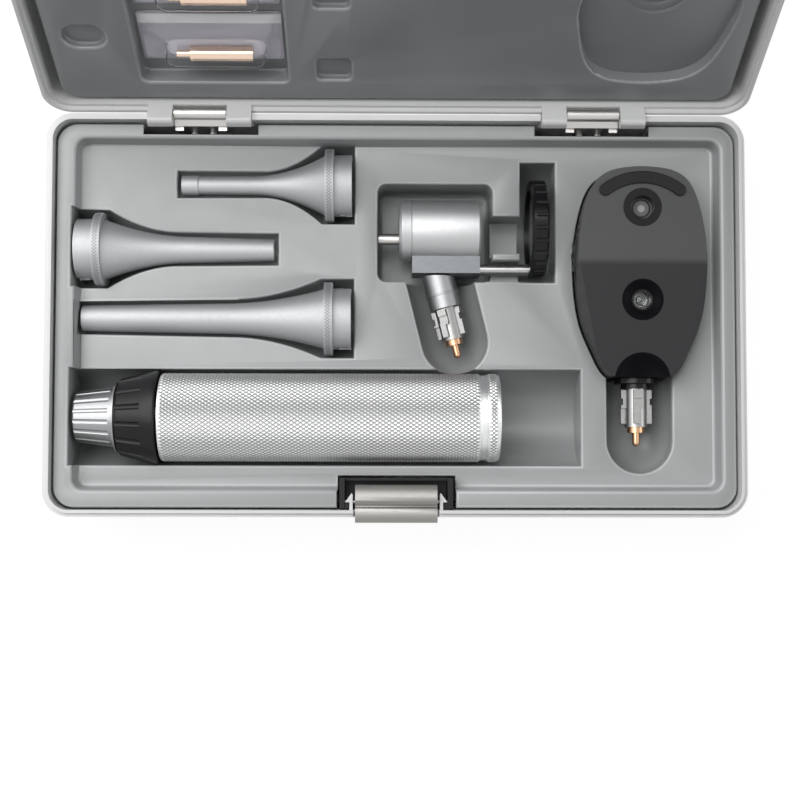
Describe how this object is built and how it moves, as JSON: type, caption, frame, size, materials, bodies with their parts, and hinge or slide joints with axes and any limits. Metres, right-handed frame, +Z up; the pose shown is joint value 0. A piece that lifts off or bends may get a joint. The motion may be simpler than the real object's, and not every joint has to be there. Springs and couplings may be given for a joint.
{
  "type": "otoscope carry case",
  "caption": "Hinged hard case with formed trays that hold a battery handle, an otoscope head, ear specula, an ophthalmoscope head and spare bulbs.",
  "frame": {"origin": "centre of the flat underside of the case base", "axes": "+X to the right along the case's length, +Y towards the hinges, +Z up"},
  "size_m": [0.236, 0.2078, 0.1581],
  "materials": {
    "shell_plastic": "satin white",
    "formed_plastic": "fine matt grey",
    "chromed_steel": "bright",
    "steel": "plain",
    "latch_steel": "satin",
    "black_plastic": "fine matt black",
    "soft_rubber": "matt",
    "printed_card": "plain card",
    "clear_plastic": "clear",
    "gold_contact": "bright",
    "aluminium": "satin anodised",
    "battery_jacket": "plain film",
    "plated_metal": "satin plated",
    "lens_glass": "clear"
  },
  "bodies": {
    "case_base": {"base_shell": "shell_plastic", "base_tray": "formed_plastic", "hinge_bracket_left": "chromed_steel", "hinge_bracket_right": "chromed_steel", "hinge_pins": "steel", "hinge_screws": "steel", "latch_housing": "black_plastic", "latch_pin": "steel", "latch_springs": "steel"},
    "lid": {"lid_shell": "shell_plastic", "lid_insert": "formed_plastic", "lid_catch": "steel", "catch_screws": "steel"},
    "latch": {"latch_plate": "latch_steel"},
    "bulb_pack_1": {"bulb_card_1": "printed_card", "bulb_blister_1": "clear_plastic", "spare_bulb_1": "gold_contact"},
    "bulb_pack_2": {"bulb_card_2": "printed_card", "bulb_blister_2": "clear_plastic", "spare_bulb_2": "gold_contact"},
    "handle": {"handle_tube": "aluminium", "handle_socket_head": "aluminium", "handle_contact": "gold_contact", "handle_battery": "battery_jacket", "battery_spring": "steel"},
    "end_cap": {"handle_end_cap": "aluminium"},
    "collar": {"brightness_collar": "black_plastic"},
    "small_speculum": {"speculum_small": "plated_metal"},
    "medium_speculum": {"speculum_medium": "plated_metal"},
    "large_speculum": {"speculum_large": "plated_metal"},
    "otoscope": {"otoscope_barrel": "aluminium", "otoscope_flange": "aluminium", "bracket_block": "aluminium", "light_tube": "chromed_steel", "otoscope_neck": "aluminium", "otoscope_connector": "aluminium", "otoscope_bulb": "gold_contact"},
    "swing_lens": {"lens_rod": "chromed_steel", "lens_rim": "black_plastic", "lens_glass": "lens_glass"},
    "ophthalmoscope": {"ophthalmoscope_front": "black_plastic", "ophthalmoscope_rear": "black_plastic", "brow_rest": "soft_rubber", "viewing_ring": "black_plastic", "viewing_glass": "lens_glass", "aperture_ring": "aluminium", "display_lens": "lens_glass", "wheel_axle": "steel", "ophthalmoscope_neck": "black_plastic", "ophthalmoscope_connector": "aluminium", "ophthalmoscope_bulb": "gold_contact"},
    "wheel": {"lens_wheel": "black_plastic", "wheel_lenses": "lens_glass"}
  },
  "joints": [
    {"name": "lid_hinge", "type": "hinge", "parent": "case_base", "child": "lid", "pos_m": [0, 0.068, 0.035], "axis": [-1, 0, 0], "range_deg": [-115, 0]},
    {"name": "latch_rock", "type": "hinge", "parent": "case_base", "child": "latch", "pos_m": [0.0001, -0.0632, 0.026], "axis": [1, 0, 0], "range_deg": [0, 8]},
    {"name": "bulb_pack_1_out", "type": "slide", "parent": "lid", "child": "bulb_pack_1", "axis": [0, -0.9063, 0.4226], "range_m": [0, 0.015]},
    {"name": "bulb_pack_2_out", "type": "slide", "parent": "lid", "child": "bulb_pack_2", "axis": [0, -0.9063, 0.4226], "range_m": [0, 0.015]},
    {"name": "handle_lift", "type": "slide", "parent": "case_base", "child": "handle", "axis": [0, 0, 1], "range_m": [0, 0.045]},
    {"name": "end_cap_turn", "type": "hinge", "parent": "handle", "child": "end_cap", "pos_m": [0.034, -0.0344, 0.0245], "axis": [1, 0, 0], "range_deg": [0, 360]},
    {"name": "brightness_turn", "type": "hinge", "parent": "handle", "child": "collar", "pos_m": [-0.089, -0.0344, 0.0245], "axis": [1, 0, 0], "range_deg": [0, 120]},
    {"name": "small_speculum_lift", "type": "slide", "parent": "case_base", "child": "small_speculum", "axis": [0, 0, 1], "range_m": [0, 0.035]},
    {"name": "medium_speculum_lift", "type": "slide", "parent": "case_base", "child": "medium_speculum", "axis": [0, 0, 1], "range_m": [0, 0.035]},
    {"name": "large_speculum_lift", "type": "slide", "parent": "case_base", "child": "large_speculum", "axis": [0, 0, 1], "range_m": [0, 0.035]},
    {"name": "otoscope_lift", "type": "slide", "parent": "case_base", "child": "otoscope", "axis": [0, 0, 1], "range_m": [0, 0.045]},
    {"name": "lens_swing", "type": "hinge", "parent": "otoscope", "child": "swing_lens", "pos_m": [0.048, 0.0171, 0.021], "axis": [1, 0, 0], "range_deg": [0, 30]},
    {"name": "ophthalmoscope_lift", "type": "slide", "parent": "case_base", "child": "ophthalmoscope", "axis": [0, 0, 1], "range_m": [0, 0.045]},
    {"name": "lens_wheel_turn", "type": "hinge", "parent": "ophthalmoscope", "child": "wheel", "pos_m": [0.0828, 0.0209, 0.0289], "axis": [0, 0, 1], "continuous": true}
  ]
}
